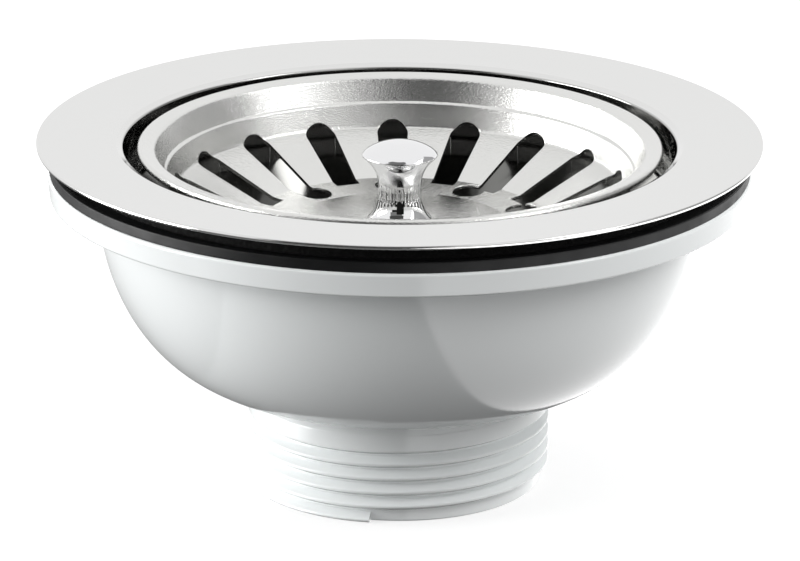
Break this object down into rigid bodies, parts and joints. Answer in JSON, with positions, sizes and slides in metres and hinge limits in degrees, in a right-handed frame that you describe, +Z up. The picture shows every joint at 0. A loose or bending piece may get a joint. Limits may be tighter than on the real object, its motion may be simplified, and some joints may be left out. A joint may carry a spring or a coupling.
{
  "type": "sink waste",
  "caption": "Sink waste with a wide steel flange and cup, a lift-out slotted strainer basket with a turned knob, black seals and a white bowl body with an outlet spigot.",
  "frame": {"origin": "centre of the outlet spigot's end face, on which the waste stands", "axes": "+Z up along the axis of the waste, from the spigot to the flange; +Y to the rear of the picture's view"},
  "size_m": [0.114, 0.114, 0.0561],
  "materials": {
    "polished_steel": "mirror-polished stainless steel",
    "basket_steel": "bright pressed stainless steel with fine drawing marks",
    "plain_steel": "turned stainless steel",
    "chrome_plate": "chrome-plated turned brass",
    "brass": "turned brass",
    "foam_rubber": "closed-cell foam rubber, cut edge",
    "seal_rubber": "moulded rubber, satin",
    "white_plastic": "moulded polypropylene, glossy",
    "stem_plastic": "moulded acetal, satin"
  },
  "bodies": {
    "waste": {"strainer_cup": "polished_steel", "flange_seal": "foam_rubber", "body_gasket": "seal_rubber", "waste_body": "white_plastic", "thread_insert": "brass", "centre_screw": "plain_steel", "screw_seal": "seal_rubber"},
    "basket": {"basket": "basket_steel", "knob": "chrome_plate", "plug_seal": "seal_rubber", "seal_plate": "plain_steel", "catch_stem": "stem_plastic", "spring_washer": "plain_steel", "knob_screw": "plain_steel"}
  },
  "joints": [
    {"name": "basket_lift", "type": "slide", "parent": "waste", "child": "basket", "axis": [0, 0, 1], "range_m": [0, 0.045]}
  ]
}
